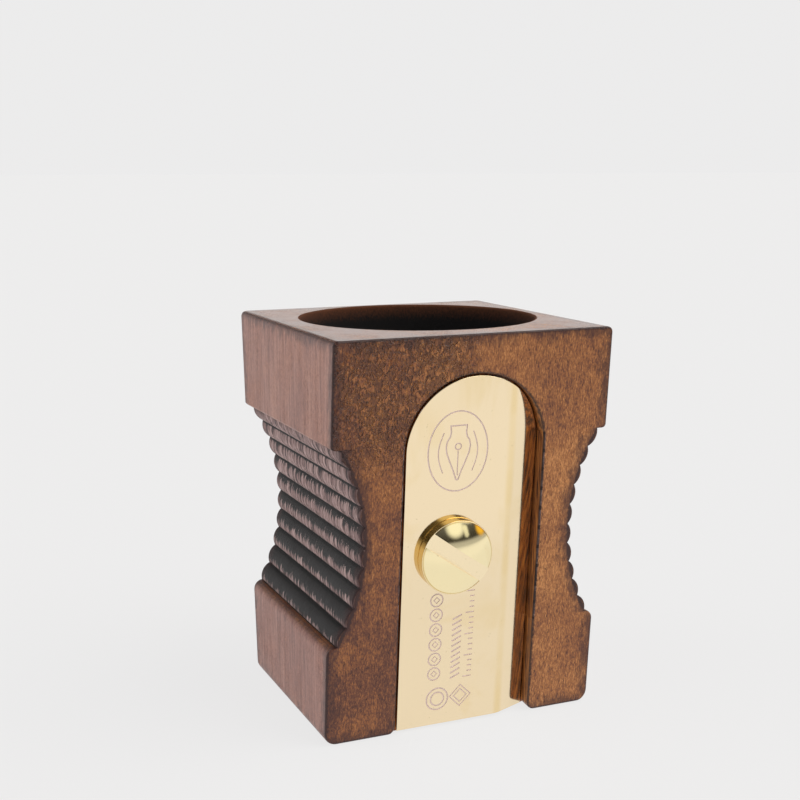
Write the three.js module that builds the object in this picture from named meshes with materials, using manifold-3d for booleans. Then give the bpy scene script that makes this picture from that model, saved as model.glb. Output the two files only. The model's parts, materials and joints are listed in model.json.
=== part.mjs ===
// A desk pen holder in the shape of a large wedge pencil sharpener: a stained wood block with a
// conical pen well, a brass blade plate let into its leaning front face, and one slotted brass
// screw with its washer. Millimetres, +Z up, the front face towards -Y.

import * as THREE from 'three';
import { mergeVertices } from 'three/addons/utils/BufferGeometryUtils.js';
import Module from 'manifold-3d';

// ---- Driving dimensions ----

const GAP = 0.3; // clearance kept between pieces that touch on the real object

const BLOCK = {
  height: 135,
  width: 98.8,
  topDepth: 98,
  bottomDepth: 74, // the block is a wedge: front and back lean outwards towards the top
  lift: 0.2, // the feet hold the wood this far above the desk
  bottomRadius: 4, // along the bottom edges of the straight sides
  topRadius: 2,
  toeRadius: 0.6, // along the bottom edges of the leaning faces
  rimRadius: 0.7, // along their top edges
};

const GRIP = {
  middle: 67.5, // height of the narrowest place
  halfWidth: 37.2, // of the block there, measured to the grooves
  radius: 65, // of the arc that the grooves lie on
  halfSpan: 33, // the arc runs this far above and below its middle
  ridges: 10,
  ridgeHeight: 1.35,
  ledgeRadius: 1.2,
};

const WELL = {
  x: 2.2,
  y: 4.7, // set back, which leaves a thick front wall for the plate and its screw
  floor: 45,
  floorRadius: 24,
  mouthRadius: 41,
  floorFillet: 3,
  rimFillet: 1.1,
};

// The blade plate and everything on it are measured in the plane of the front face:
// x to the right, y up the slope from desk level, z out of the face.
const POCKET = { x: 0.6, archY: 97.4, radius: 25, toe: 2.6 }; // toe rounds its two lower corners

const PLATE = {
  radius: 24.4,
  bottom: 1,
  inset: 0.3, // its face lies this far below the wood
  thickness: 2,
  bendX: 13.5, // right of this the blade dips into the block
  bendWidth: 4,
  dip: THREE.MathUtils.degToRad(20),
  screwHole: 4.6,
};

const SCREW = {
  x: -5.72,
  y: 61.8,
  headRadius: 12.75,
  headThickness: 2.95, // of its straight skirt, under the dome
  domeRadius: 11.9,
  domeHeight: 3.4,
  recessRadius: 9, // turned into the underside of the head for the washer
  slotWidth: 5.2,
  slotAngle: THREE.MathUtils.degToRad(-35),
  shankRadius: 3.8, // an M8 thread, drawn plain
  shankTip: -13.2,
  edge: 0.4,
};

const WASHER = { radius: 8.6, hole: 4.4, thickness: 1.1 };

const INSERT = { radius: 6, bore: 4.1, length: 11, tipRoom: 2.4 };

const FOOT = { x: 34, y: 24, radius: 6, thickness: 1.8 };

const LEAN = Math.atan((BLOCK.topDepth - BLOCK.bottomDepth) / 2 / BLOCK.height);
const PAST = 10; // how far cutting solids run past what they cut
const ROUND = 48; // sides of the round pieces

// ---- Solids ----

const wasm = await Module();
wasm.setup();

function toSolid(geometry) {
  const bare = geometry.clone();
  bare.deleteAttribute('normal');
  bare.deleteAttribute('uv');
  const merged = mergeVertices(bare);
  return new wasm.Manifold(new wasm.Mesh({
    numProp: 3,
    vertProperties: merged.attributes.position.array,
    triVerts: new Uint32Array(merged.index.array),
  }));
}

function toGeometry(solid) {
  const mesh = solid.getMesh();
  const geometry = new THREE.BufferGeometry();
  geometry.setAttribute('position', new THREE.BufferAttribute(mesh.vertProperties, 3));
  geometry.setIndex(new THREE.BufferAttribute(mesh.triVerts, 1));
  return geometry;
}

// A shape drawn across (x) and up (z), extruded along y on both sides of zero.
function extrudeAlongY(shape, length, curveSegments = 6) {
  const options = { depth: length, bevelEnabled: false, curveSegments };
  const geometry = new THREE.ExtrudeGeometry(shape, options);
  return geometry.translate(0, 0, -length / 2).rotateX(Math.PI / 2);
}

// A shape drawn along y and up (z), extruded along x on both sides of zero.
function extrudeAlongX(shape, length, curveSegments = 6) {
  return extrudeAlongY(shape, length, curveSegments).rotateZ(Math.PI / 2);
}

// Points of [radius, height] turned round the z axis.
function turned(profile, sides = ROUND) {
  const points = profile.map(([r, z]) => new THREE.Vector2(r, z));
  return new THREE.LatheGeometry(points, sides).rotateX(Math.PI / 2);
}

function arcPoints(x, y, radius, from, to, steps) {
  const points = [];
  for (let i = 0; i <= steps; i++) {
    const angle = THREE.MathUtils.degToRad(from + ((to - from) * i) / steps);
    points.push([x + radius * Math.cos(angle), y + radius * Math.sin(angle)]);
  }
  return points;
}

// A closed outline of [x, y, radius] corners, each rounded by its radius.
function roundedShape(corners) {
  const shape = new THREE.Shape();
  corners.forEach(([x, y, radius], i) => {
    const corner = new THREE.Vector2(x, y);
    const [before, after] = [corners.at(i - 1), corners[(i + 1) % corners.length]].map(
      ([nextX, nextY]) => new THREE.Vector2(nextX, nextY).sub(corner).setLength(radius).add(corner),
    );
    if (i === 0) shape.moveTo(before.x, before.y);
    else shape.lineTo(before.x, before.y);
    shape.quadraticCurveTo(corner.x, corner.y, after.x, after.y);
  });
  return shape;
}

// ---- Wood block ----

// The right-hand side of the front outline, from the desk up: bottom corner, shoulder, grip,
// ledge and top corner.
function sideOutline() {
  const half = BLOCK.width / 2;
  const arcX = GRIP.halfWidth + GRIP.radius;
  const sweep = Math.asin(GRIP.halfSpan / GRIP.radius);
  const neckX = arcX - GRIP.radius * Math.cos(sweep);
  const shoulderZ = GRIP.middle - GRIP.halfSpan;
  const ledgeZ = GRIP.middle + GRIP.halfSpan;
  const stepAngle = (2 * sweep) / GRIP.ridges;
  const halfChord = GRIP.radius * Math.sin(stepAngle / 2);
  const ridgeRadius = (halfChord ** 2 + GRIP.ridgeHeight ** 2) / (2 * GRIP.ridgeHeight);

  const foot = BLOCK.bottomRadius;
  const points = arcPoints(half - foot, BLOCK.lift + foot, foot, -90, 0, 5);
  const shoulder = half - neckX;
  points.push(...arcPoints(neckX, shoulderZ - shoulder, shoulder, 0, 90, 5).slice(0, -1));

  const facets = 6;
  for (let i = 0; i < GRIP.ridges * facets; i++) {
    const angle = -sweep + (i * stepAngle) / facets;
    const acrossRidge = ((i % facets) / facets - 0.5) * 2 * halfChord;
    const rise = Math.sqrt(ridgeRadius ** 2 - acrossRidge ** 2) - (ridgeRadius - GRIP.ridgeHeight);
    const radius = GRIP.radius - rise;
    points.push([arcX - radius * Math.cos(angle), GRIP.middle + radius * Math.sin(angle)]);
  }

  points.push([neckX, ledgeZ]);
  points.push(...arcPoints(half - GRIP.ledgeRadius, ledgeZ + GRIP.ledgeRadius, GRIP.ledgeRadius, -90, 0, 3));
  const top = BLOCK.topRadius;
  points.push(...arcPoints(half - top, BLOCK.height - top, top, 0, 90, 4));
  return points;
}

function blockSolid() {
  const right = sideOutline();
  const left = right.map(([x, z]) => [-x, z]).reverse();
  const front = new THREE.Shape([...right, ...left].map(([x, z]) => new THREE.Vector2(x, z)));

  const halfDepthAt = (z) => BLOCK.bottomDepth / 2 + z * Math.tan(LEAN);
  const low = halfDepthAt(BLOCK.lift);
  const high = halfDepthAt(BLOCK.height);
  const side = roundedShape([
    [-low, BLOCK.lift, BLOCK.toeRadius],
    [low, BLOCK.lift, BLOCK.toeRadius],
    [high, BLOCK.height, BLOCK.rimRadius],
    [-high, BLOCK.height, BLOCK.rimRadius],
  ]);

  const outline = toSolid(extrudeAlongY(front, BLOCK.topDepth + 2 * PAST));
  const wedge = toSolid(extrudeAlongX(side, BLOCK.width + 2 * PAST));
  return outline.intersect(wedge);
}

function wellCutter() {
  const { floor, floorRadius, mouthRadius, floorFillet, rimFillet } = WELL;
  const rim = arcPoints(mouthRadius + rimFillet, BLOCK.height - rimFillet, rimFillet, 180, 90, 4);
  const profile = [
    [0, floor],
    ...arcPoints(floorRadius - floorFillet, floor + floorFillet, floorFillet, -90, 0, 4),
    ...rim,
    [mouthRadius + rimFillet, BLOCK.height + PAST],
    [0, BLOCK.height + PAST],
  ];
  return turned(profile, 64).translate(WELL.x, WELL.y, 0);
}

// The arch-topped outline of the plate, from its bottom edge up.
function plateShape() {
  const { x, archY } = POCKET;
  const { radius, bottom } = PLATE;
  const shape = new THREE.Shape();
  shape.moveTo(x - radius, bottom);
  shape.lineTo(x + radius, bottom);
  shape.lineTo(x + radius, archY);
  shape.absarc(x, archY, radius, 0, Math.PI);
  return shape;
}

// The same arch for the pocket, open at the bottom of the block and flared where it leaves it.
function pocketShape() {
  const { x, archY, radius, toe } = POCKET;
  const flareY = BLOCK.lift + toe;
  const shape = new THREE.Shape();
  shape.moveTo(x - radius - toe, -PAST);
  shape.lineTo(x + radius + toe, -PAST);
  shape.absarc(x + radius + toe, flareY, toe, -Math.PI / 2, -Math.PI, true);
  shape.absarc(x, archY, radius, 0, Math.PI);
  shape.absarc(x - radius - toe, flareY, toe, 0, -Math.PI / 2, true);
  return shape;
}

function extrudeOutwards(shape, low, high) {
  const options = { depth: high - low, bevelEnabled: false, curveSegments: 24 };
  return new THREE.ExtrudeGeometry(shape, options).translate(0, 0, low);
}

// The blade's face seen from its end, as [x, z]: flat, then a soft bend, then the dip.
function bladeLine(depth) {
  const { bendX, bendWidth, dip, inset } = PLATE;
  const z = -inset - depth;
  const bendStart = bendX - bendWidth / 2;
  const bendRadius = bendWidth / Math.sin(dip) + depth;
  const bend = arcPoints(bendStart, z - bendRadius, bendRadius, 90, 90 - THREE.MathUtils.radToDeg(dip), 5);
  const [lastX, lastZ] = bend.at(-1);
  const right = POCKET.x + POCKET.radius + PAST;
  return [
    [POCKET.x - POCKET.radius - PAST, z],
    ...bend,
    [right, lastZ - (right - lastX) * Math.tan(dip)],
  ];
}

// Everything between two such lines, over the whole height of the front face.
function bladeSlab(face, back) {
  const outline = [...back, ...face.toReversed()].map(([x, z]) => new THREE.Vector2(x, z));
  return toSolid(extrudeAlongY(new THREE.Shape(outline), 4 * BLOCK.height));
}

function pocketCutter() {
  const floor = bladeLine(PLATE.thickness + GAP);
  const open = [[floor[0][0], PAST], [floor.at(-1)[0], PAST]];
  return toSolid(extrudeOutwards(pocketShape(), -4 * PAST, PAST)).intersect(bladeSlab(open, floor));
}

function insertHole() {
  const mouth = -PLATE.inset - PLATE.thickness;
  const end = SCREW.shankTip - INSERT.tipRoom;
  const radius = INSERT.radius + GAP;
  return turned([[0, end], [radius, end], [radius, mouth], [0, mouth]]).translate(SCREW.x, SCREW.y, 0);
}

function footSocket(x, y) {
  const top = FOOT.thickness + GAP;
  const radius = FOOT.radius + GAP;
  return turned([[0, -PAST], [radius, -PAST], [radius, top], [0, top]], 32).translate(x, y, 0);
}

// ---- The leaning front face's own frame ----

const front = new THREE.Group();
front.position.set(0, -BLOCK.bottomDepth / 2, 0);
front.rotation.x = Math.PI / 2 + LEAN;
front.updateMatrix();

const feet = [
  ['foot_front_left', -FOOT.x, -FOOT.y],
  ['foot_front_right', FOOT.x, -FOOT.y],
  ['foot_back_left', -FOOT.x, FOOT.y],
  ['foot_back_right', FOOT.x, FOOT.y],
];

function woodBody() {
  let wood = blockSolid().subtract(toSolid(wellCutter()));
  wood = wood.subtract(toSolid(toGeometry(pocketCutter()).applyMatrix4(front.matrix)));
  wood = wood.subtract(toSolid(insertHole().applyMatrix4(front.matrix)));
  for (const [, x, y] of feet) wood = wood.subtract(toSolid(footSocket(x, y)));
  return toGeometry(wood);
}

// ---- Metal pieces, in the front face's frame ----

function bladePlate() {
  const slab = bladeSlab(bladeLine(0), bladeLine(PLATE.thickness));
  const { screwHole } = PLATE;
  const hole = turned([[0, -PAST], [screwHole, -PAST], [screwHole, PAST], [0, PAST]]);
  const outline = toSolid(extrudeOutwards(plateShape(), -4 * PAST, PAST));
  return toGeometry(outline.intersect(slab).subtract(toSolid(hole.translate(SCREW.x, SCREW.y, 0))));
}

function screwWasher() {
  const { radius, hole, thickness } = WASHER;
  return turned([[hole, 0], [radius, 0], [radius, thickness], [hole, thickness], [hole, 0]]);
}

function bladeScrew() {
  const { headRadius, headThickness, domeRadius, domeHeight, edge } = SCREW;
  const { shankRadius, shankTip, recessRadius } = SCREW;
  const recess = WASHER.thickness + GAP;
  const sphere = (domeRadius ** 2 + domeHeight ** 2) / (2 * domeHeight);
  const rise = THREE.MathUtils.radToDeg(Math.asin(domeRadius / sphere));
  const profile = [
    [0, shankTip],
    [shankRadius - 2 * edge, shankTip],
    [shankRadius, shankTip + 2 * edge],
    [shankRadius, recess],
    [recessRadius, recess],
    [recessRadius, 0],
    [headRadius - edge, 0],
    [headRadius, edge],
    [headRadius, headThickness - edge],
    [headRadius - edge, headThickness],
    ...arcPoints(0, headThickness + domeHeight - sphere, sphere, 90 - rise, 90, 6),
  ];
  profile.at(-1)[0] = 0;
  const slot = new THREE.BoxGeometry(4 * headRadius, SCREW.slotWidth, PAST);
  slot.translate(0, 0, headThickness + PAST / 2).rotateZ(SCREW.slotAngle);
  return toGeometry(toSolid(turned(profile)).subtract(toSolid(slot)));
}

function threadedInsert() {
  const mouth = -PLATE.inset - PLATE.thickness - 2 * GAP;
  const end = mouth - INSERT.length;
  const { radius, bore } = INSERT;
  return turned([[bore, end], [radius, end], [radius, mouth], [bore, mouth], [bore, end]]);
}

function footPad() {
  return turned([[0, 0], [FOOT.radius, 0], [FOOT.radius, FOOT.thickness], [0, FOOT.thickness]], 32);
}

// ---- Assembly ----

const walnutStain = new THREE.MeshStandardMaterial({ color: 0x5d3a22, roughness: 0.42, metalness: 0 });
const polishedBrass = new THREE.MeshStandardMaterial({ color: 0xe6c68c, roughness: 0.16, metalness: 1 });
const turnedBrass = new THREE.MeshStandardMaterial({ color: 0xd9a845, roughness: 0.12, metalness: 1 });
const plainBrass = new THREE.MeshStandardMaterial({ color: 0xb08a45, roughness: 0.35, metalness: 1 });
const blackRubber = new THREE.MeshStandardMaterial({ color: 0x1d1b1a, roughness: 0.9, metalness: 0 });

function named(name, geometry, material) {
  const mesh = new THREE.Mesh(geometry, material);
  mesh.name = name;
  return mesh;
}

const penHolder = new THREE.Group();
penHolder.add(named('wood_body', woodBody(), walnutStain));
for (const [name, x, y] of feet) {
  const pad = named(name, footPad(), blackRubber);
  pad.position.set(x, y, 0);
  penHolder.add(pad);
}

const screwAxis = new THREE.Group();
screwAxis.position.set(SCREW.x, SCREW.y, 0);
screwAxis.add(named('screw_washer', screwWasher(), turnedBrass));
screwAxis.add(named('blade_screw', bladeScrew(), turnedBrass));
screwAxis.add(named('threaded_insert', threadedInsert(), plainBrass));
front.add(named('blade_plate', bladePlate(), polishedBrass), screwAxis);
penHolder.add(front);

// The part stands on the origin, with the middle of its footprint over it.
const extent = new THREE.Box3().setFromObject(penHolder, true);
const middle = extent.getCenter(new THREE.Vector3());
penHolder.position.set(-middle.x, -middle.y, -extent.min.z);

export default penHolder;
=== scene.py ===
"""A stained wood desk pen holder in the shape of a wedge pencil sharpener, with a brass blade plate
and a slotted brass screw. Shapes are made in millimetres in the block's own frame (x to the right,
y into the depth, z up, origin under the middle of the block) and turned into the row frame at the
end. Pieces on the leaning front face are made in that face's plane: x right, y up it, z out of it.
"""

import json
import math

import bmesh
import bpy
import numpy as np
from mathutils import Matrix, Vector


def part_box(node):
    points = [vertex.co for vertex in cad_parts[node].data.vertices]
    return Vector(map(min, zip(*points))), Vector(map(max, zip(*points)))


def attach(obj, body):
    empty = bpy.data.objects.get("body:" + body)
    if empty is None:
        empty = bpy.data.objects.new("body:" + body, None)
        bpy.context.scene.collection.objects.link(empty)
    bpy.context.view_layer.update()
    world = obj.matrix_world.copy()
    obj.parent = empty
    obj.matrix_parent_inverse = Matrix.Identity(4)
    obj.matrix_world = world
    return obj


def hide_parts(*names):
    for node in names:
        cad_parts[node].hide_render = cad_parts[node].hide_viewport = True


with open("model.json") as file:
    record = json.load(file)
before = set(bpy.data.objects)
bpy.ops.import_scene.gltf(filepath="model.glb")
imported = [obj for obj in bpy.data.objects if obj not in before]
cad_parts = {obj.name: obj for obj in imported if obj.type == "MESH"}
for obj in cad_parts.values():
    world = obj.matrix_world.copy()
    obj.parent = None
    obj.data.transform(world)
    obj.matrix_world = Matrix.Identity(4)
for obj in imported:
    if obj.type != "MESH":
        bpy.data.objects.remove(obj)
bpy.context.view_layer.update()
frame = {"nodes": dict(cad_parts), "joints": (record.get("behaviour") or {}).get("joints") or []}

MM = 0.001
joint = {j["name"]: j for j in frame["joints"]}

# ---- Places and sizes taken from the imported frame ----

wood_low, wood_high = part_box("wood_body")
foot_low, foot_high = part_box("foot_front_left")
out_of_face = Vector(joint["screw_turn"]["axis"]).normalized()
screw_point = Vector(joint["screw_turn"]["pos_m"])

HEIGHT = wood_high.z / MM
HALF_WIDTH = wood_high.x / MM
BOTTOM = wood_low.z / MM
CENTRE_Y = (wood_low.y + wood_high.y) / 2
LEAN = math.atan2(-out_of_face.z, -out_of_face.y)

BLOCK_TO_ROW = Matrix.Translation((0, CENTRE_Y, 0)) @ Matrix.Scale(MM, 4)
BOTTOM_HALF_DEPTH = -(screw_point.y - CENTRE_Y) / MM - screw_point.z / MM * math.tan(LEAN)
FACE_TO_ROW = (
    BLOCK_TO_ROW
    @ Matrix.Translation((0, -BOTTOM_HALF_DEPTH, 0))
    @ Matrix.Rotation(math.pi / 2 + LEAN, 4, "X")
)
SCREW_ON_FACE = FACE_TO_ROW.inverted() @ screw_point
SCREW_TO_ROW = FACE_TO_ROW @ Matrix.Translation((SCREW_ON_FACE.x, SCREW_ON_FACE.y, 0))

# ---- Shape constants, in millimetres ----

GAP = 0.3  # between pieces that are glued, seated or pressed together
# Radii of the block's edges: along the sides at the bottom and top, along front and back at the
# bottom and top, and up the corners.
BOTTOM_EDGE, TOP_EDGE, TOE_EDGE, RIM_EDGE, UPRIGHT_EDGE = 4.0, 2.0, 0.6, 0.7, 0.9
GRIP = dict(middle=67.5, half_width=37.2, radius=65.0, half_span=33.0, ridges=10, height=1.35, ledge=1.2)
WELL = dict(x=2.2, y=4.7, floor=45.0, floor_radius=24.0, mouth_radius=41.0, fillet=3.0, rim=1.1)
POCKET = dict(x=0.6, arch_y=97.4, radius=25.0, edge=0.8, toe=2.6)
PLATE = dict(radius=24.4, bottom=1.0, inset=0.3, thickness=2.0, edge=0.22, hole=4.6,
             bend_x=13.5, bend_width=4.0, dip=math.radians(20))
SCREW = dict(head_radius=12.75, bottom=-0.22, skirt=2.9, dome_radius=12.5, dome_height=3.4, edge=0.16,
             recess_radius=9.0, recess=1.4, slot_width=5.2, slot_angle=math.radians(-35), tip=-13.2)
WASHER = dict(radius=8.6, hole=4.4, thickness=1.1, edge=0.2)
THREAD = dict(crest=3.8, root=3.25, pitch=1.25)
INSERT = dict(crest=6.0, root=5.2, bore=4.1, length=11.0, pitch=2.5)
ETCH_DEPTH = 0.1
ETCHED_AREA = dict(left=-20.0, right=8.0, bottom=3.0, top=113.0)


# ---- Mesh helpers ----

def arc(x, y, radius, start, end, steps):
    """Points on a circle from one angle to another, in degrees."""
    angles = np.radians(np.linspace(start, end, steps + 1))
    return [(x + radius * math.cos(a), y + radius * math.sin(a)) for a in angles]


def new_object(name, bm):
    mesh = bpy.data.meshes.new(name)
    bm.normal_update()
    bmesh.ops.recalc_face_normals(bm, faces=bm.faces)
    bm.to_mesh(mesh)
    bm.free()
    obj = bpy.data.objects.new(name, mesh)
    bpy.context.scene.collection.objects.link(obj)
    return obj


def skin(rings):
    """A closed bmesh through rings of points, all with the same number of points."""
    bm = bmesh.new()
    rows = [[bm.verts.new(p) for p in ring] for ring in rings]
    for low, high in zip(rows, rows[1:]):
        for i in range(len(low)):
            k = (i + 1) % len(low)
            bm.faces.new((low[i], low[k], high[k], high[i]))
    bm.faces.new(rows[0][::-1])
    bm.faces.new(rows[-1])
    return bm


def circle(radius, z, sides, centre=(0, 0)):
    return [(centre[0] + radius * math.cos(2 * math.pi * i / sides),
             centre[1] + radius * math.sin(2 * math.pi * i / sides), z) for i in range(sides)]


def turned(profile, sides=192, centre=(0, 0)):
    """A solid turned round the z axis from (radius, height) points, flat at both ends."""
    return skin([circle(radius, z, sides, centre) for radius, z in profile])


def turned_ring(bm, profile, sides=192, centre=(0, 0), phase=0.0):
    """Adds a ring turned round the z axis from a closed outline of (radius, height) points."""
    rows = []
    for i in range(sides):
        a = 2 * math.pi * i / sides + phase
        rows.append([bm.verts.new((centre[0] + r * math.cos(a), centre[1] + r * math.sin(a), z))
                     for r, z in profile])
    for i in range(sides):
        here, there = rows[i], rows[(i + 1) % sides]
        for k in range(len(profile)):
            m = (k + 1) % len(profile)
            bm.faces.new((here[k], there[k], there[m], here[m]))
    return bm


def threaded(crest, root, pitch, low, high, plain_low, sides=72, steps=10):
    """Rings of a rod with a helical thread from low to high, then plain up to plain_low."""
    rings = []
    count = int(round((high - low) / pitch * steps))
    for k in range(count + 1):
        z = low + (high - low) * k / count
        fade = min(1.0, (z - low) / pitch, (high - z) / pitch)
        ring = []
        for i in range(sides):
            a = 2 * math.pi * i / sides
            wave = 1 - 2 * abs((z / pitch - i / sides) % 1.0 - 0.5)
            radius = root + (crest - root) * min(1.0, 1.25 * wave) * max(fade, 0.0)
            ring.append((radius * math.cos(a), radius * math.sin(a), z))
        rings.append(ring)
    rings.append(circle(root, plain_low, sides))
    return rings


def cut(obj, cutter_bm, operation="DIFFERENCE"):
    """Applies one boolean to obj with a cutter that is used up by it."""
    cutter = new_object("cutter", cutter_bm)
    modifier = obj.modifiers.new("cut", "BOOLEAN")
    modifier.operation = operation
    modifier.solver = "MANIFOLD"
    modifier.object = cutter
    bpy.context.view_layer.update()
    result = bpy.data.meshes.new_from_object(obj.evaluated_get(bpy.context.evaluated_depsgraph_get()))
    obj.modifiers.clear()
    obj.data = result
    bpy.data.objects.remove(cutter)


def finish_piece(obj, to_row, body, nodes, materials, sharp=30, bevel=0.0):
    """Puts a piece in the row frame, smooths it between its sharp edges and ties it to its CAD node."""
    obj.data.transform(to_row)
    indices = [face.material_index for face in obj.data.polygons]
    obj.data.materials.clear()
    for material in materials:
        obj.data.materials.append(material)
    obj.data.polygons.foreach_set("material_index", indices)
    obj.data.shade_smooth()
    obj.data.set_sharp_from_angle(angle=math.radians(sharp))
    if bevel:
        rounding = obj.modifiers.new("rounding", "BEVEL")
        rounding.width = bevel * MM
        rounding.segments = 2
        rounding.limit_method = "ANGLE"
        rounding.angle_limit = math.radians(45)
        rounding.harden_normals = False
    weighted = obj.modifiers.new("normals", "WEIGHTED_NORMAL")
    weighted.keep_sharp = True
    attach(obj, body)
    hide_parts(*nodes)


# ---- Wood block ----

def half_depth(z):
    return BOTTOM_HALF_DEPTH + z * math.tan(LEAN)


def eased(distance, radius):
    """How far a rounded edge of this radius draws the surface in, at a distance from the corner."""
    if distance >= radius:
        return 0.0
    return radius - math.sqrt(radius**2 - (radius - distance) ** 2)


def side_path():
    """The side's outline from the desk up, as (half width, height) points."""
    g = GRIP
    arc_x = g["half_width"] + g["radius"]
    sweep = math.asin(g["half_span"] / g["radius"])
    neck = arc_x - g["radius"] * math.cos(sweep)
    low, high = g["middle"] - g["half_span"], g["middle"] + g["half_span"]
    step = 2 * sweep / g["ridges"]
    half_chord = g["radius"] * math.sin(step / 2)
    ridge = (half_chord**2 + g["height"] ** 2) / (2 * g["height"])
    shoulder = HALF_WIDTH - neck

    path = arc(HALF_WIDTH - BOTTOM_EDGE, BOTTOM + BOTTOM_EDGE, BOTTOM_EDGE, -90, 0, 10)
    path += [(HALF_WIDTH, z) for z in np.arange(BOTTOM + BOTTOM_EDGE + 2, low - shoulder, 3.0)]
    path += arc(neck, low - shoulder, shoulder, 0, 84, 9)
    facets = 16
    for i in range(g["ridges"] * facets):
        angle = -sweep + i * step / facets
        across = ((i % facets) / facets - 0.5) * 2 * half_chord
        rise = math.sqrt(ridge**2 - across**2) - (ridge - g["height"])
        radius = g["radius"] - rise
        path.append((arc_x - radius * math.cos(angle), g["middle"] + radius * math.sin(angle)))
    path.append((neck, high))
    path += arc(HALF_WIDTH - g["ledge"], high + g["ledge"], g["ledge"], -90, 0, 6)
    path += [(HALF_WIDTH, z) for z in np.arange(high + g["ledge"] + 2, HEIGHT - TOP_EDGE - 1, 3.0)]
    path += arc(HALF_WIDTH - TOP_EDGE, HEIGHT - TOP_EDGE, TOP_EDGE, 0, 90, 8)
    return path


def block_ring(half_x, z):
    """One level of the block: a rectangle with eased upright edges, points going round it."""
    inset = max(eased(z - BOTTOM, TOE_EDGE), eased(HEIGHT - z, RIM_EDGE))
    half_y = half_depth(z) - inset
    r = UPRIGHT_EDGE
    ring = []
    corners = [(1, -1, -90), (1, 1, 0), (-1, 1, 90), (-1, -1, 180)]
    for index, (sx, sy, start) in enumerate(corners):
        ring += arc(sx * (half_x - r), sy * (half_y - r), r, start, start + 90, 6)
        nx, ny, _ = corners[(index + 1) % 4]
        here = Vector(ring[-1])
        there = Vector(arc(nx * (half_x - r), ny * (half_y - r), r, start + 90, start + 180, 6)[0])
        steps = 16
        ring += [tuple(here.lerp(there, i / steps)) for i in range(1, steps)]
    return [(x, y, z) for x, y in ring]


def well_cutter():
    w = WELL
    profile = [(0.5, w["floor"])]
    profile += arc(w["floor_radius"] - w["fillet"], w["floor"] + w["fillet"], w["fillet"], -90, 0, 8)
    wall_low, wall_high = w["floor"] + w["fillet"], HEIGHT - w["rim"]
    for t in np.linspace(0, 1, 24)[1:-1]:
        profile.append((w["floor_radius"] + t * (w["mouth_radius"] - w["floor_radius"]),
                        wall_low + t * (wall_high - wall_low)))
    raised = 0.02
    profile += arc(w["mouth_radius"] + w["rim"], wall_high + raised, w["rim"], 180, 90, 8)
    profile += [(w["mouth_radius"] + w["rim"], HEIGHT + 5)]
    return turned(profile, 256, (w["x"], w["y"]))


def arch_ring(radius, bottom, z, toe=0.0):
    """The arch-topped outline of the pocket and the plate, with its lower corners flared by toe."""
    right = [(POCKET["x"] + radius, bottom)]
    if toe:
        flare = [(POCKET["x"] + radius + eased(toe * i / 8, toe), bottom + toe * i / 8) for i in range(9)]
        right = [(flare[0][0], bottom - 6)] + flare
    right += [(POCKET["x"] + radius, y) for y in np.linspace(bottom + toe + 4, POCKET["arch_y"] - 2, 30)]
    top = arc(POCKET["x"], POCKET["arch_y"], radius, 0, 180, 96)
    left = [(2 * POCKET["x"] - x, y) for x, y in reversed(right)]
    return [(x, y, z) for x, y in right + top + left]


def blade_height(x):
    """The blade's face over the front face: flat, then a soft bend, then the dip to the right."""
    start = PLATE["bend_x"] - PLATE["bend_width"] / 2
    radius = PLATE["bend_width"] / math.sin(PLATE["dip"])
    end = start + PLATE["bend_width"]
    if x <= start:
        return -PLATE["inset"]
    if x <= end:
        return -PLATE["inset"] - radius + math.sqrt(radius**2 - (x - start) ** 2)
    return -PLATE["inset"] - radius * (1 - math.cos(PLATE["dip"])) - (x - end) * math.tan(PLATE["dip"])


def bend_columns():
    start = PLATE["bend_x"] - PLATE["bend_width"] / 2
    return list(start + PLATE["bend_width"] * np.linspace(0, 1, 13))


def pocket_cutter():
    """The arched pocket with its mouth rounded over, down to the floor that follows the blade."""
    edge = POCKET["edge"]
    levels = [(-14.0, 0.0)]
    for angle in range(0, 76, 15):
        a = math.radians(angle)
        levels.append((-edge + edge * math.sin(a), edge * (1 - math.cos(a))))
    levels.append((0.02, edge * (1 - math.cos(math.radians(82)))))
    levels.append((6.0, levels[-1][1]))
    pocket = new_object("pocket", skin(
        [arch_ring(POCKET["radius"] + grow, BOTTOM, z, POCKET["toe"]) for z, grow in levels]))
    drop = PLATE["thickness"] + GAP
    floor = [(x, blade_height(x) - drop) for x in [-40.0, *bend_columns(), 40.0]]
    outline = floor + [(40.0, 12.0), (-40.0, 12.0)]
    cut(pocket, skin([[(x, y, z) for x, z in outline] for y in (-20.0, 160.0)]), "INTERSECT")
    return take(pocket, BLOCK_TO_ROW.inverted() @ FACE_TO_ROW)


def take(obj, to_new_frame):
    """The object's mesh as a bmesh in another frame; the object itself is removed."""
    bm = bmesh.new()
    bm.from_mesh(obj.data)
    bm.transform(to_new_frame)
    bpy.data.objects.remove(obj)
    return bm


def wood_block(material):
    wood = new_object("stained_block", skin([block_ring(x, z) for x, z in side_path()]))
    cut(wood, well_cutter())
    cut(wood, pocket_cutter())
    hole = turned([(INSERT["crest"] + GAP, SCREW["tip"] - 2.4), (INSERT["crest"] + GAP, 0)], 96,
                  (SCREW_ON_FACE.x, SCREW_ON_FACE.y))
    hole.transform(BLOCK_TO_ROW.inverted() @ FACE_TO_ROW)
    cut(wood, hole)
    for _, centre in feet():
        radius = (foot_high.x - foot_low.x) / MM / 2 + GAP
        cut(wood, turned([(radius, -5), (radius, foot_high.z / MM + GAP)], 64, centre))
    finish_piece(wood, BLOCK_TO_ROW, "holder", ["wood_body"], [material])


# ---- Blade plate and its engraving ----

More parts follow.
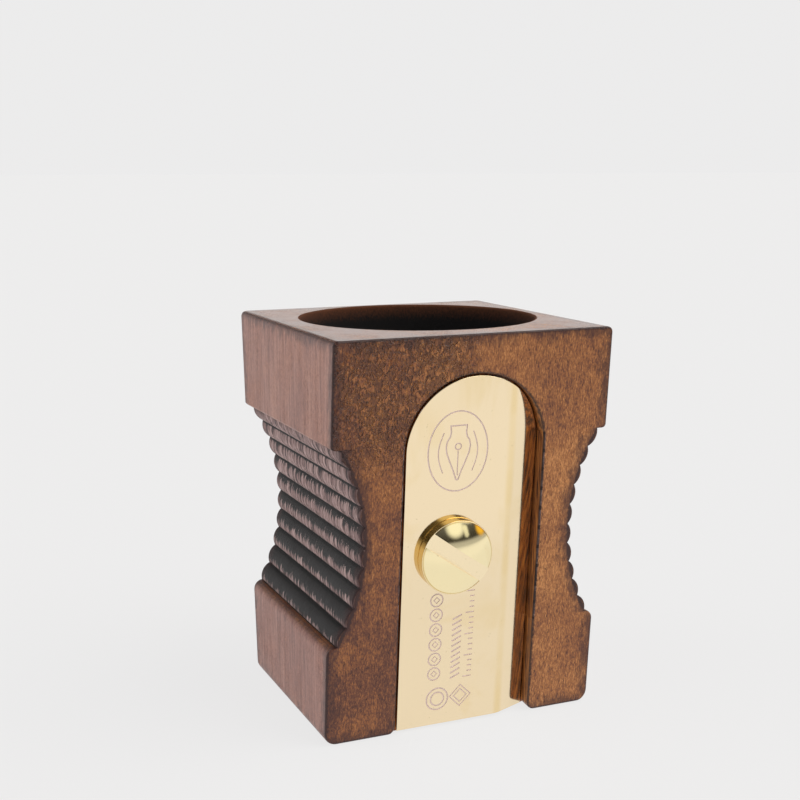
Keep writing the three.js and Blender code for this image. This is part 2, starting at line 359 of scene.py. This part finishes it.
def groove(bm, points, width, closed=False):
    """Adds a cutter for an engraved line through points in the face's plane."""
    count = len(points)
    rows = []
    for i, point in enumerate(points):
        here = Vector(point)
        sides = []
        if closed or i > 0:
            along = (here - Vector(points[i - 1])).normalized()
            sides.append(Vector((-along.y, along.x)))
        if closed or i < count - 1:
            along = (Vector(points[(i + 1) % count]) - here).normalized()
            sides.append(Vector((-along.y, along.x)))
        across = sum(sides, Vector((0, 0))).normalized()
        across *= width / 2 / across.dot(sides[0])
        rows.append([bm.verts.new((*(here + side * across), z))
                     for side, z in ((-1, -ETCH_DEPTH), (1, -ETCH_DEPTH), (1, 1), (-1, 1))])
    for here, there in zip(rows, rows[1:] + (rows[:1] if closed else [])):
        for k in range(4):
            m = (k + 1) % 4
            bm.faces.new((here[k], there[k], there[m], here[m]))
    if not closed:
        bm.faces.new(rows[0][::-1])
        bm.faces.new(rows[-1])


def groove_ring(bm, x, y, radius, width, sides=48, phase=0.0):
    outline = [(radius - width / 2, -ETCH_DEPTH), (radius + width / 2, -ETCH_DEPTH),
               (radius + width / 2, 1), (radius - width / 2, 1)]
    turned_ring(bm, outline, sides, (x, y), phase)


def engrave_nib(bm, x, y):
    """A plain pen nib in an oval frame."""
    oval = [(x + 10.6 * math.cos(a), y + 13.4 * math.sin(a))
            for a in np.linspace(0, 2 * math.pi, 97)[:-1]]
    groove(bm, oval, 0.5, closed=True)
    flank = [(0.35, -9.6), (1.5, -6.4), (2.9, -3.2), (4.0, -0.4), (4.3, 1.8), (3.9, 3.6),
             (3.0, 4.9), (2.7, 6.4), (2.9, 8.6)]
    nib = [(x + dx, y + dy) for dx, dy in flank] + [(x - dx, y + dy) for dx, dy in reversed(flank)]
    groove(bm, nib, 0.5, closed=True)
    groove_ring(bm, x, y + 1.6, 1.05, 0.44)
    groove(bm, [(x, y - 8.2), (x, y + 0.2)], 0.4)
    for side in (-1, 1):
        sweep = [(x + side * (5.2 + 1.8 * math.sin(t * math.pi)), y - 7.0 + 13.5 * t)
                 for t in np.linspace(0, 1, 15)]
        groove(bm, sweep, 0.4)


def engrave_bands(bm):
    """Rings and lozenges, a hatched band and a plain rule scale, up the left of the blade."""
    for y in np.arange(19.8, 47, 5.3):
        groove_ring(bm, -11.0, y, 2.2, 0.5)
        groove_ring(bm, -11.0, y, 1.05, 0.46, sides=4)
    for y in np.arange(17.2, 40, 1.94):
        groove(bm, [(-4.9, y), (-1.5, y + 1.5)], 0.62)
    for i in range(17):
        length = 3.1 if i % 4 == 0 else 1.7
        groove(bm, [(2.9 - length, 17.2 + 1.94 * i), (2.9, 17.2 + 1.94 * i)], 0.45)
    for sides, x in ((48, -9.4), (4, -0.9)):
        for radius in (3.9, 2.4):
            groove_ring(bm, x, 10.4, radius, 0.56, sides)


def blade_plate(polished, etched):
    edge, thickness = PLATE["edge"], PLATE["thickness"]
    levels = [(-thickness, edge)]
    levels += [(-thickness + edge - edge * math.cos(a), edge - edge * math.sin(a))
               for a in np.radians([30, 60, 90])]
    levels += [(-edge + edge * math.sin(a), edge - edge * math.cos(a))
               for a in np.radians([0, 22, 45, 68, 90])]
    plate = new_object("bent_blade_plate", skin(
        [arch_ring(PLATE["radius"] - draw, PLATE["bottom"] + draw, z) for z, draw in levels]))
    radius = PLATE["hole"]
    cut(plate, turned([(radius, -9), (radius, 9)], 96, (SCREW_ON_FACE.x, SCREW_ON_FACE.y)))
    pattern = bmesh.new()
    engrave_nib(pattern, -5.7, 97.2)
    engrave_bands(pattern)
    cut(plate, pattern)

    bm = bmesh.new()
    bm.from_mesh(plate.data)
    for face in bm.faces:
        middle = face.calc_center_median()
        in_area = (ETCHED_AREA["left"] < middle.x < ETCHED_AREA["right"]
                   and ETCHED_AREA["bottom"] < middle.y < ETCHED_AREA["top"])
        face.material_index = int(in_area and -ETCH_DEPTH - 0.01 < middle.z < -0.01)
    for column in bend_columns():
        bmesh.ops.bisect_plane(bm, geom=bm.verts[:] + bm.edges[:] + bm.faces[:],
                               plane_co=(column, 0, 0), plane_no=(1, 0, 0))
    for vert in bm.verts:
        vert.co.z += blade_height(vert.co.x)
    bm.to_mesh(plate.data)
    bm.free()
    finish_piece(plate, FACE_TO_ROW, "holder", ["blade_plate"], [polished, etched])


# ---- Screw, washer, insert and feet ----

def screw_washer(material):
    radius, hole, edge = WASHER["radius"], WASHER["hole"], WASHER["edge"]
    low, high = SCREW["bottom"], SCREW["bottom"] + WASHER["thickness"]
    outline = arc(hole + edge, low + edge, edge, 180, 270, 3)
    outline += arc(radius - edge, low + edge, edge, -90, 0, 4)
    outline += arc(radius - edge, high - edge, edge, 0, 90, 4)
    outline += arc(hole + edge, high - edge, edge, 90, 180, 3)
    washer = new_object("recess_washer", turned_ring(bmesh.new(), outline))
    finish_piece(washer, SCREW_TO_ROW, "washer", ["screw_washer"], [material], sharp=60)


def blade_screw(turned_brass, milled_brass):
    """Head, slot and threaded shank; the faces at the slot's floor take the milled brass."""
    s = SCREW
    radius, edge, skirt = s["head_radius"], s["edge"], s["skirt"]
    sphere = (s["dome_radius"] ** 2 + s["dome_height"] ** 2) / (2 * s["dome_height"])
    rise = math.degrees(math.asin(s["dome_radius"] / sphere))
    profile = [(s["recess_radius"], s["recess"]), (s["recess_radius"], s["bottom"] + edge)]
    profile += arc(s["recess_radius"] + edge, s["bottom"] + edge, edge, 180, 270, 3)[1:]
    profile += arc(radius - 2 * edge, s["bottom"] + 2 * edge, 2 * edge, -90, 0, 5)
    profile += arc(radius - edge, skirt - edge * 0.8, edge, 0, 60, 5)
    profile += arc(0, skirt + s["dome_height"] - sphere, sphere, 90 - rise, 89, 36)
    head = new_object("slotted_screw", turned(profile))
    slot_floor = Matrix.Rotation(s["slot_angle"], 4, "Z") @ Matrix.Translation((0, 0, skirt + 5))
    slot = bmesh.new()
    bmesh.ops.create_cube(slot, size=1, matrix=slot_floor @ Matrix.Diagonal((60, s["slot_width"], 10, 1)))
    cut(head, slot)
    shank = threaded(THREAD["crest"], THREAD["root"], THREAD["pitch"], s["tip"], -0.4, s["recess"] + 0.4)
    cut(head, skin([circle(THREAD["root"] * 0.8, s["tip"], 72)] + shank[1:]), "UNION")
    for face in head.data.polygons:
        face.material_index = int(abs(face.center.z - skirt) < 0.01 and face.normal.z > 0.9)
    finish_piece(head, SCREW_TO_ROW, "screw", ["blade_screw"], [turned_brass, milled_brass],
                 bevel=0.09)


def threaded_insert(material):
    mouth = -PLATE["inset"] - PLATE["thickness"] - 2 * GAP
    low = mouth - INSERT["length"]
    outer = threaded(INSERT["crest"], INSERT["root"], INSERT["pitch"], low, mouth - 1.2, mouth - 1.0)
    outer += [circle(INSERT["crest"], mouth - 1.0, 72), circle(INSERT["crest"], mouth, 72)]
    insert = new_object("wood_insert", skin(outer))
    cut(insert, turned([(INSERT["bore"], low - 1), (INSERT["bore"], mouth + 1)], 72))
    cut(insert, turned([(INSERT["bore"] - 0.01, mouth - 0.7), (INSERT["bore"] + 0.9, mouth + 0.2)], 72))
    finish_piece(insert, SCREW_TO_ROW, "holder", ["threaded_insert"], [material])


def feet():
    """Name and middle, in the block's frame, of each foot pad."""
    found = []
    for name in frame["nodes"]:
        if name.startswith("foot_"):
            low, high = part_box(name)
            middle = BLOCK_TO_ROW.inverted() @ ((low + high) / 2)
            found.append((name, (middle.x, middle.y)))
    return sorted(found)


def foot_pads(material):
    """Moulded rubber pads with a rounded edge and a dished, ringed sole."""
    radius = (foot_high.x - foot_low.x) / MM / 2
    thickness = foot_high.z / MM
    for name, centre in feet():
        profile = [(0.6, 0.12), (3.0, 0.1), (3.3, 0.3), (3.7, 0.3), (4.0, 0.06)]
        profile += arc(radius - 0.5, 0.5, 0.5, -90, 0, 6)
        profile += [(radius, thickness - 0.3), (radius - 0.3, thickness)]
        pad = new_object("rubber_" + name, turned(profile, 96, centre))
        finish_piece(pad, BLOCK_TO_ROW, "holder", [name], [material])


# ---- Materials ----

class Nodes:
    """The node tree of a material or the world, with a short method for each kind of node."""

    def __init__(self, owner, shader="Principled BSDF"):
        owner.use_nodes = True
        self.owner = owner
        self.tree = owner.node_tree
        self.shader = self.tree.nodes[shader]

    def node(self, kind, *values, **settings):
        made = self.tree.nodes.new("ShaderNode" + kind)
        for key, value in settings.items():
            setattr(made, key, value)
        for socket, value in zip(made.inputs, values):
            self.feed(socket, value)
        return made

    def feed(self, socket, value):
        if isinstance(value, bpy.types.NodeSocket):
            self.tree.links.new(value, socket)
        elif value is not None:
            socket.default_value = value

    def finish(self, **values):
        for name, value in values.items():
            self.feed(self.shader.inputs[name.replace("_", " ").title().replace("Ior", "IOR")], value)
        return self.owner

    def millimetres(self):
        """The place on the piece in millimetres of the row frame, where every piece's origin lies."""
        place = self.node("TexCoord").outputs["Object"]
        return self.vector("MULTIPLY", place, (1 / MM, 1 / MM, 1 / MM))

    def facing(self):
        return self.split(self.node("TexCoord").outputs["Normal"])

    def split(self, vector):
        return list(self.node("SeparateXYZ", vector).outputs)

    def vector(self, operation, *values):
        made = self.node("VectorMath", *values, operation=operation)
        return made.outputs["Value" if operation == "LENGTH" else "Vector"]

    def math(self, operation, *values):
        return self.node("Math", *values, operation=operation).outputs[0]

    def fade(self, value, start, end, low=0.0, high=1.0):
        """Goes smoothly from low to high while the value goes from start to end."""
        made = self.node("MapRange", value, start, end, low, high, interpolation_type="SMOOTHSTEP")
        return made.outputs[0]

    def noise(self, place, stretch, detail=3.0, roughness=0.55, distortion=0.0):
        """Noise with this many features a millimetre along each axis."""
        made = self.node("TexNoise", self.vector("MULTIPLY", place, stretch))
        made.inputs["Scale"].default_value = 1.0
        made.inputs["Detail"].default_value = detail
        made.inputs["Roughness"].default_value = roughness
        made.inputs["Distortion"].default_value = distortion
        return made.outputs["Fac"]

    def ramp(self, value, *stops):
        made = self.node("ValToRGB", value)
        elements = made.color_ramp.elements
        while len(elements) < len(stops):
            elements.new(0.5)
        for element, (position, colour) in zip(elements, stops):
            element.position = position
            element.color = (*colour, 1)
        return made.outputs["Color"]

    def mix(self, factor, a, b):
        made = self.node("Mix", data_type="RGBA")
        self.feed(made.inputs[0], factor)
        for socket, value in zip(made.inputs[6:8], (a, b)):
            self.feed(socket, (*value, 1) if isinstance(value, tuple) else value)
        return made.outputs[2]

    def bump(self, height, strength, distance, under=None):
        made = self.node("Bump")
        self.feed(made.inputs["Strength"], strength)
        made.inputs["Distance"].default_value = distance * MM
        self.feed(made.inputs["Height"], height)
        if under is not None:
            self.feed(made.inputs["Normal"], under)
        return made.outputs["Normal"]


def wood_distances(n, x, y, z):
    """Distances in millimetres from the nearest outer edge, the front face, the pocket's arch and the
    well's wall, with how much of a place is on a grip and the count of ridges up to it."""
    wide = n.math("ABSOLUTE", x)
    deep = n.math("ABSOLUTE", n.math("SUBTRACT", y, CENTRE_Y / MM))
    up_grip = n.math("SUBTRACT", z, GRIP["middle"])
    under_root = n.math("SUBTRACT", GRIP["radius"] ** 2, n.math("MULTIPLY", up_grip, up_grip))
    inward = n.math("SQRT", n.math("MAXIMUM", under_root, 0.0))
    waist = n.math("SUBTRACT", GRIP["half_width"] + GRIP["radius"], inward)
    on_grip = n.fade(n.math("ABSOLUTE", up_grip), GRIP["half_span"] + 0.5, GRIP["half_span"] - 0.1)
    drawn_in = n.math("MULTIPLY", on_grip, n.math("SUBTRACT", waist, HALF_WIDTH))
    half = n.math("ADD", drawn_in, HALF_WIDTH)
    to_side = n.math("ABSOLUTE", n.math("SUBTRACT", half, wide))
    front = n.math("MULTIPLY_ADD", z, math.tan(LEAN), BOTTOM_HALF_DEPTH)
    to_front = n.math("SUBTRACT", front, deep)
    to_end = n.math("MINIMUM", n.math("SUBTRACT", HEIGHT, z), n.math("SUBTRACT", z, BOTTOM))
    smaller = n.math("MINIMUM", to_side, to_front)
    larger = n.math("MAXIMUM", to_side, to_front)
    to_edge = n.math("MAXIMUM", smaller, n.math("MINIMUM", larger, to_end))

    arch_x = n.math("SUBTRACT", x, POCKET["x"])
    arch_z = n.math("MAXIMUM", n.math("SUBTRACT", z, POCKET["arch_y"] * math.cos(LEAN)), 0.0)
    to_arch = n.math("SUBTRACT", n.vector("LENGTH", n.node("CombineXYZ", arch_x, arch_z, 0.0).outputs[0]),
                     POCKET["radius"])
    well_x = n.math("SUBTRACT", x, WELL["x"])
    well_y = n.math("SUBTRACT", y, WELL["y"] + CENTRE_Y / MM)
    to_axis = n.vector("LENGTH", n.node("CombineXYZ", well_x, well_y, 0.0).outputs[0])
    taper = (WELL["mouth_radius"] - WELL["floor_radius"]) / (HEIGHT - WELL["floor"])
    wall = n.math("MULTIPLY_ADD", z, taper, WELL["floor_radius"] - WELL["floor"] * taper)
    to_well = n.math("SUBTRACT", to_axis, wall)
    along = n.math("ARCSINE", n.math("DIVIDE", up_grip, GRIP["radius"]))
    step = 2 * math.asin(GRIP["half_span"] / GRIP["radius"]) / GRIP["ridges"]
    ridge = n.math("ADD", n.math("DIVIDE", along, step), GRIP["ridges"] / 2)
    return dict(edge=to_edge, front=to_front, arch=to_arch, well=to_well, grip=on_grip, ridge=ridge)


def stained_wood():
    """Dark walnut stain over an open grain, rubbed lighter in places, under a thin lacquer.

    Each layer below covers the colour under it where its own mask says so.
    """
    n = Nodes(bpy.data.materials.new("stained_wood"))
    place = n.millimetres()
    x, y, z = n.split(place)
    far = wood_distances(n, x, y, z)
    across, _, upward = n.facing()

    # The mottled stain, with broad darker areas towards the bottom and the upper right, and a tone rising
    # to the right that is painted light.
    flecks = n.noise(place, (2.1, 2.1, 0.9), 3.0, 0.75, 0.2)
    fibres = n.noise(place, (3.6, 3.6, 0.20), 3.0, 0.65)
    blotches = n.noise(place, (0.42, 0.42, 0.20), 4.0, 0.62, 0.5)
    patches = n.noise(place, (0.07, 0.07, 0.05), 3.0, 0.55)
    tone = n.math("MULTIPLY_ADD", fibres, n.fade(x, -10.0, 30.0, 0.35, 0.65), flecks)
    tone = n.math("MULTIPLY_ADD", blotches, 0.30, tone)
    tone = n.math("MULTIPLY_ADD", patches, 0.45, tone)
    # Painted light: the tone rises towards the right.
    tone = n.math("MULTIPLY_ADD", x, 0.0006, tone)
    upper_right = n.math("MULTIPLY", n.fade(x, 8.0, 30.0), n.fade(z, 92.0, 116.0))
    tone = n.math("MULTIPLY_ADD", upper_right, -0.15, tone)
    tone = n.math("MULTIPLY_ADD", n.fade(z, 62.0, 22.0), -0.065, tone)
    upper = n.fade(z, 96.0, 122.0, 0.525, 0.490)
    tone = n.math("SUBTRACT", tone, n.math("MULTIPLY_ADD", n.fade(x, 0.0, 34.0), 0.035, upper))
    colour = n.ramp(tone, (0.20, (0.052, 0.018, 0.015)), (0.42, (0.175, 0.058, 0.028)),
                    (0.62, (0.400, 0.148, 0.044)), (0.86, (0.70, 0.310, 0.105)))

    # Open pores along the grain.
    pores = n.noise(place, (3.4, 3.4, 0.30), 2.0, 0.5)
    open_pores = n.fade(pores, 0.655, 0.72)
    colour = n.mix(open_pores, colour, (0.030, 0.011, 0.010))

    # The two sides, redder and streaked along the grain, and lighter as a painted sheen of the lacquer.
    sideways = n.fade(n.math("ABSOLUTE", across), 0.6, 0.95)
    streaks = n.noise(place, (0.6, 0.62, 0.035), 4.0, 0.72)
    # Painted sheen: the sides' streaked colour is made lighter and pinker to stand in for the lacquer's
    # reflection.
    streaked_with_sheen = n.ramp(n.math("MULTIPLY_ADD", streaks, 0.8, n.math("MULTIPLY", tone, 0.35)),
                      (0.38, (0.20, 0.064, 0.044)), (0.54, (0.38, 0.155, 0.114)),
                      (0.72, (0.56, 0.28, 0.215)))
    on_side = n.math("MULTIPLY", sideways, n.math("MULTIPLY_ADD", open_pores, -0.5, 0.78))
    colour = n.mix(on_side, colour, streaked_with_sheen)

    # The grips: stain combed off the crests and left black below them, with painted shade making the
    # valleys near black.
    on_grip = n.math("MULTIPLY", far["grip"], n.fade(n.math("ABSOLUTE", across), 0.25, 0.5))
    combed = n.noise(place, (0.62, 0.62, 0.045), 4.0, 0.80)
    low_down = n.fade(z, GRIP["middle"] + 30.0, GRIP["middle"] - 30.0, 0.0, 0.34)
    ragged = n.math("MULTIPLY_ADD", combed, -2.2, n.math("ADD", upward, 0.86))
    shaded = n.fade(n.math("ADD", ragged, low_down), -0.06, 0.16)
    combed_colour = n.ramp(combed, (0.385, (0.020, 0.011, 0.012)), (0.47, (0.27, 0.155, 0.145)),
                           (0.62, (0.60, 0.42, 0.39)))
    grip_colour = n.mix(shaded, combed_colour, (0.022, 0.019, 0.019))
    colour = n.mix(on_grip, colour, grip_colour)
    # Painted shade: the valleys between the ridges are darkened to near black.
    valley = n.math("ABSOLUTE", n.math("SUBTRACT", n.math("FRACT", far["ridge"]), 0.5))
    valley_shade = n.fade(n.math("MULTIPLY_ADD", combed, -0.10, n.math("ADD", valley, 0.05)), 0.37, 0.43)
    colour = n.mix(n.math("MULTIPLY", on_grip, valley_shade), colour, (0.008, 0.006, 0.006))

    # The edges, where the stain has gathered.
    frayed = n.math("MULTIPLY_ADD", flecks, 1.6, -0.8)
    edge = n.math("ADD", far["edge"], frayed)
    dark_edge = n.math("MULTIPLY", n.fade(edge, 1.15, 0.35, 0.0, 0.93), n.fade(on_grip, 0.6, 0.0))
    colour = n.mix(dark_edge, colour, (0.014, 0.007, 0.007))
    broad_edge = n.fade(n.math("MULTIPLY_ADD", blotches, 12.0, far["edge"]), 11.5, 6.5, 0.0, 0.66)
    colour = n.mix(broad_edge, colour, (0.055, 0.017, 0.016))

    # The front: a rough patch in the upper left with painted shade in the hollows between its lumps,
    # painted shade along the edge of the pocket's arch, and the pocket's bare wall.
    by_front = n.fade(y, -30.0, -33.0)
    lumps = n.fade(n.noise(place, (0.62, 0.62, 0.50), 2.0, 0.6, 0.8), 0.42, 0.58)
    rough_patch = n.math("MULTIPLY", n.fade(x, 6.0, -10.0), n.fade(z, 86.0, 106.0))
    rough_patch = n.math("MULTIPLY", rough_patch, n.fade(patches, 0.30, 0.44))
    rough_patch = n.math("MULTIPLY", rough_patch, by_front)
    rough_patch = n.math("MULTIPLY", rough_patch, n.fade(n.math("ADD", sideways, upward), 0.3, 0.0))
    # Painted shade: the hollows between the lumps of the rough patch are darkened.
    hollow_shade = n.math("MULTIPLY", rough_patch, n.fade(lumps, 0.45, 0.0, 0.0, 0.5))
    colour = n.mix(hollow_shade, colour, (0.045, 0.015, 0.010))
    # Painted shade: a dark band at the edge of the pocket's arch, standing in for the shadow in the gap
    # round the blade.
    arch_edge_shade = n.fade(n.math("ADD", far["arch"], frayed), 1.0, 0.2, 0.0, 0.85)
    arch_edge_shade = n.math("MULTIPLY", arch_edge_shade, by_front)
    colour = n.mix(arch_edge_shade, colour, (0.022, 0.009, 0.008))
    recess = n.math("MULTIPLY", n.fade(far["front"], 0.5, 0.9), n.fade(far["arch"], 1.4, 0.6))
    recess = n.math("MULTIPLY", recess, by_front)
    recess_colour = n.ramp(n.noise(place, (1.6, 1.1, 0.08), 3.0, 0.66), (0.38, (0.050, 0.016, 0.007)),
                           (0.50, (0.32, 0.105, 0.026)), (0.66, (0.62, 0.240, 0.060)))
    colour = n.mix(recess, colour, recess_colour)

    # The well: painted shade, nearly black inside, with the brown stain running in over its rim.
    inside = n.math("MULTIPLY", n.fade(far["well"], 1.2, 0.9), n.fade(z, 20.0, 30.0))
    near_rim = n.fade(n.math("MULTIPLY_ADD", flecks, 8.0, z), HEIGHT - 2.0, HEIGHT + 6.0)
    well_shade_and_stain = n.mix(near_rim, (0.0045, 0.0035, 0.004), (0.14, 0.045, 0.017))
    colour = n.mix(inside, colour, well_shade_and_stain)

    # The lacquer's shine and the relief under it.
    on_top = n.math("MULTIPLY", n.fade(upward, 0.80, 0.97), n.fade(z, HEIGHT - 3.0, HEIGHT - 1.0))
    satin = n.math("MULTIPLY_ADD", patches, 0.16, 0.30)
    satin = n.math("MULTIPLY_ADD", on_top, -0.20, satin)
    satin = n.math("MULTIPLY_ADD", on_grip, 0.22, satin)
    satin = n.math("MULTIPLY_ADD", rough_patch, -0.10, satin)
    roughness = n.math("MULTIPLY_ADD", open_pores, 0.25, satin)
    roughness = n.math("MULTIPLY_ADD", inside, 0.70, roughness)
    pitted = n.math("MULTIPLY", n.fade(flecks, 0.50, 0.30), n.fade(patches, 0.42, 0.60))
    relief = n.math("MULTIPLY_ADD", pitted, -0.6, n.math("MULTIPLY", fibres, 0.35))
    relief = n.math("MULTIPLY_ADD", open_pores, -0.5, relief)
    relief = n.math("MULTIPLY_ADD", combed, n.math("MULTIPLY", on_grip, 2.4), relief)
    normal = n.bump(relief, n.math("MULTIPLY_ADD", on_top, -0.6, 0.8), 0.16)
    normal = n.bump(n.math("MULTIPLY", lumps, rough_patch), 1.0, 0.9, normal)
    return n.finish(base_color=colour, roughness=roughness, normal=normal, specular_ior_level=0.42)


def brass(name, colour, tarnish_and_rim_tint, roughness, stain_bend=False, painted_rim_reflection=False):
    """Polished brass with fine rubbing marks, faint clouding and a few pin marks; for the screw, a deeper
    gold painted round the dome's rim is a painted reflection of brass in brass.
    """
    n = Nodes(bpy.data.materials.new(name))
    place = n.millimetres()
    x, _, z = n.split(place)
    clouds = n.noise(place, (0.05, 0.05, 0.035), 3.0, 0.6, 0.6)
    rubbed = n.noise(place, (0.5, 0.5, 7.0), 3.0, 0.6)
    specks = n.fade(n.noise(place, (0.9, 0.9, 0.9), 2.0, 0.5), 0.71, 0.76)
    stain = n.fade(clouds, 0.50, 0.72, 0.0, 0.45)
    if stain_bend:
        off_bend = n.math("ABSOLUTE", n.math("SUBTRACT", x, PLATE["bend_x"] + 0.4))
        along = n.noise(place, (0.02, 0.02, 0.06), 2.0, 0.6)
        bend = n.math("MULTIPLY", n.fade(off_bend, 2.4, 0.3), n.fade(along, 0.30, 0.62, 0.25, 0.8))
        stain = n.math("MAXIMUM", stain, bend)
    # Painted reflection: the deeper gold round the dome's rim stands in for brass reflected in brass.
    if painted_rim_reflection:
        from_axis = n.vector("SUBTRACT", place, tuple(screw_point / MM))
        from_axis = n.vector("LENGTH", n.vector("CROSS_PRODUCT", from_axis, tuple(out_of_face)))
        rim = n.fade(from_axis, SCREW["dome_radius"] - 0.55, SCREW["dome_radius"])
        stain = n.math("MAXIMUM", stain, rim)
    # The stain mask carries the tarnish clouds and, on the screw, the painted rim reflection.
    shade = n.mix(stain, colour, tarnish_and_rim_tint)
    shade = n.mix(n.math("MULTIPLY", specks, 0.35), shade, tuple(0.6 * c for c in tarnish_and_rim_tint))
    dull = n.math("MULTIPLY_ADD", stain, 0.08, n.math("MULTIPLY_ADD", rubbed, 0.06, roughness - 0.03))
    marks = n.fade(n.noise(place, (0.35, 0.35, 4.5), 2.0, 0.5), 0.66, 0.70)
    normal = n.bump(n.math("MULTIPLY_ADD", marks, -1.0, n.math("MULTIPLY", rubbed, 0.2)), 0.25, 0.004)
    return n.finish(base_color=shade, metallic=1.0, roughness=dull, normal=normal)


def etched_brass():
    n = Nodes(bpy.data.materials.new("etched_brass"))
    place = n.millimetres()
    grain = n.noise(place, (6.0, 6.0, 6.0), 3.0, 0.6)
    colour = n.ramp(grain, (0.35, (0.72, 0.55, 0.49)), (0.65, (0.95, 0.78, 0.70)))
    normal = n.bump(grain, 0.4, 0.02)
    return n.finish(base_color=colour, metallic=0.4, roughness=n.math("MULTIPLY_ADD", grain, 0.2, 0.45),
                    normal=normal)


def foot_rubber():
    n = Nodes(bpy.data.materials.new("foot_rubber"))
    place = n.millimetres()
    grain = n.noise(place, (3.0, 3.0, 3.0), 4.0, 0.65)
    dust = n.fade(n.noise(place, (0.4, 0.4, 0.4), 3.0, 0.6), 0.5, 0.75)
    colour = n.mix(dust, (0.012, 0.012, 0.011), (0.055, 0.052, 0.048))
    return n.finish(base_color=colour, roughness=n.math("MULTIPLY_ADD", grain, 0.2, 0.62),
                    normal=n.bump(grain, 0.5, 0.03))


# ---- Camera, light and floor ----

CAMERA = dict(azimuth=-23.231, elevation=9.871, roll=-0.109, distance=0.4643, lens=59.5)
AIM = Vector((-0.00655, CENTRE_Y, 0.1064))
WHITE = (0.84, 0.836, 0.836)
# The floor's own colour and glow. In front of the object it is a little lighter from lift_near to
# lift_far, and falls to far_light between near and far, all in millimetres.
FLOOR = dict(bounce=0.10, glow=0.768, lift=1.07, lift_near=120, lift_far=200,
             near=300, far=1000, far_light=0.50)
# The sweep's top behind the object, as the sine of its elevation, how softly it ends behind and in
# front, and how light it is in front.
SWEEP = dict(top=0.26, soft_behind=0.05, soft_in_front=0.10, light_in_front=0.57)
ROOM_LOW, ROOM_HIGH = (0.020, 0.016, 0.008), (0.24, 0.24, 0.24)


def add_camera():
    az, el = math.radians(CAMERA["azimuth"]), math.radians(CAMERA["elevation"])
    back = Vector((math.sin(az) * math.cos(el), -math.cos(az) * math.cos(el), math.sin(el)))
    data = bpy.data.cameras.new("camera")
    data.lens = CAMERA["lens"]
    data.sensor_width = 36
    data.clip_start = 0.01
    camera = bpy.data.objects.new("camera", data)
    turn = back.to_track_quat("Z", "Y").to_matrix().to_4x4()
    roll = Matrix.Rotation(math.radians(CAMERA["roll"]), 4, "Z")
    camera.matrix_world = Matrix.Translation(AIM + back * CAMERA["distance"]) @ turn @ roll
    bpy.context.scene.collection.objects.link(camera)
    bpy.context.scene.camera = camera


def add_floor():
    """A pale floor whose light falls off softly, far in front of the object."""
    f = FLOOR
    bm = bmesh.new()
    bmesh.ops.create_grid(bm, x_segments=8, y_segments=8, size=60)
    floor = new_object("floor", bm)
    n = Nodes(bpy.data.materials.new("pale_floor"))
    _, y, _ = n.split(n.millimetres())
    lit = n.fade(y, -f["far"], -f["near"], f["far_light"], 1.0)
    lit = n.math("MULTIPLY", lit, n.fade(y, -f["lift_near"], -f["lift_far"], 1.0, f["lift"]))
    white = n.vector("MULTIPLY", n.node("CombineXYZ", lit, lit, lit).outputs[0], (1, 0.995, 0.995))
    floor.data.materials.append(n.finish(
        base_color=(f["bounce"], f["bounce"], f["bounce"], 1), roughness=1.0,
        emission_color=white, emission_strength=f["glow"], specular_ior_level=0.0))


# Bright patches of the studio: direction, half angle in degrees, softness, colour and strength.
PATCHES = [
    ((0.55, -0.35, 0.80), 26, 10, (1.0, 0.98, 0.95), 3.2),
    ((-0.75, 0.10, 0.75), 20, 12, (1.0, 1.0, 1.0), 1.6),
    ((0.28, -0.86, 0.40), 13, 11, (1.0, 1.0, 0.9), 1.0),
    ((0.565, -0.79, 0.18), 3.2, 4, (1.0, 1.0, 0.85), 0.75),
    ((0.555, -0.78, 0.26), 3.4, 4, (1.0, 1.0, 0.85), 0.85),
    ((0.545, -0.77, 0.34), 3.6, 4, (1.0, 1.0, 0.85), 0.9),
    ((0.88, -0.42, 0.20), 8, 8, (1.0, 0.58, 0.06), 0.95),
]


def add_world():
    """A pale sweep behind the object, a soft horizon in front, and soft patches of light."""
    world = bpy.data.worlds.new("studio")
    sky = Nodes(world, "Background")
    direction = sky.node("TexCoord").outputs["Generated"]
    _, y, z = sky.split(direction)
    behind = sky.fade(y, -0.25, 0.15)
    above = sky.math("SUBTRACT", z, sky.math("MULTIPLY", behind, SWEEP["top"]))
    narrowing = SWEEP["soft_behind"] - SWEEP["soft_in_front"]
    fade_width = sky.math("MULTIPLY_ADD", behind, narrowing, SWEEP["soft_in_front"])
    sweep = sky.fade(sky.math("DIVIDE", above, fade_width), 1.0, 0.0)
    room = sky.mix(z, ROOM_LOW, ROOM_HIGH)
    pale = sky.mix(behind, tuple(c * SWEEP["light_in_front"] for c in WHITE), WHITE)
    colour = sky.mix(sweep, room, pale)
    for aim, half_angle, softness, tint, strength in PATCHES:
        toward = Vector(aim).normalized()
        dot = sky.node("VectorMath", direction, tuple(toward), operation="DOT_PRODUCT")
        near = math.cos(math.radians(half_angle + softness / 2))
        full = math.cos(math.radians(half_angle - softness / 2))
        patch = sky.fade(dot.outputs["Value"], near, full)
        colour = sky.mix(patch, colour, tuple(c * strength for c in tint))
    bpy.context.scene.world = sky.finish(color=colour, strength=1.0)
    bpy.context.scene.view_settings.view_transform = "Standard"


# ---- Assembly ----

add_camera()
add_world()
add_floor()
plate_brass = brass("plate_brass", (0.965, 0.795, 0.535), (0.90, 0.70, 0.38), 0.09, stain_bend=True)
screw_brass = brass("screw_brass", (1.0, 0.865, 0.53), (0.70, 0.49, 0.17), 0.09, painted_rim_reflection=True)
slot_brass = brass("slot_brass", (1.0, 0.84, 0.56), (0.90, 0.70, 0.38), 0.22)
wood_block(stained_wood())
blade_plate(plate_brass, etched_brass())
screw_washer(screw_brass)
blade_screw(screw_brass, slot_brass)
threaded_insert(brass("insert_brass", (0.80, 0.62, 0.34), (0.55, 0.38, 0.18), 0.3))
foot_pads(foot_rubber())
